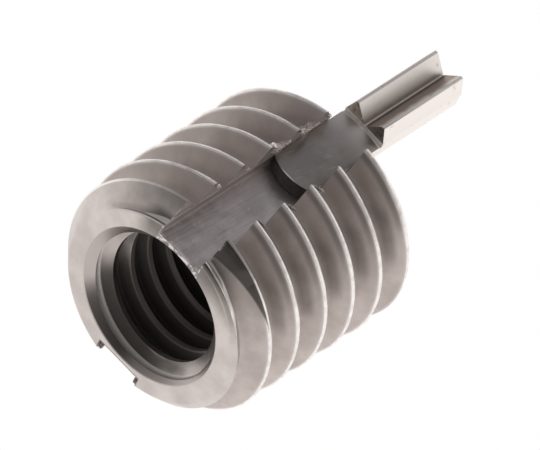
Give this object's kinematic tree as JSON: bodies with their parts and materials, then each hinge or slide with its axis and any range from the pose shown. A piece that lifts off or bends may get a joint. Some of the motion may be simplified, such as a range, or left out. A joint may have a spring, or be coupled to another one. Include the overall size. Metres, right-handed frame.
{
  "type": "threaded insert",
  "caption": "Stainless key-locking threaded insert: a bush threaded outside and inside, with slots and locking keys to be driven down.",
  "frame": {"origin": "centre of the plain lead-in end face", "axes": "+Z along the axis from the plain end to the keys; +X through the shown slot and key"},
  "size_m": [0.0078, 0.008, 0.0117],
  "materials": {
    "body_steel": "turned stainless steel, brighter on the crests and the end cone",
    "key_steel": "drawn stainless steel, smooth and darker, with worn edges"
  },
  "bodies": {
    "body": {"insert_body": "body_steel"},
    "key_a": {"locking_key_a": "key_steel"},
    "key_b": {"locking_key_b": "key_steel"}
  },
  "joints": [
    {"name": "key_a_drive", "type": "slide", "parent": "body", "child": "key_a", "axis": [0, 0, -1], "range_m": [0, 0.00425]},
    {"name": "key_b_drive", "type": "slide", "parent": "body", "child": "key_b", "axis": [0, 0, -1], "range_m": [0, 0.00425]}
  ]
}
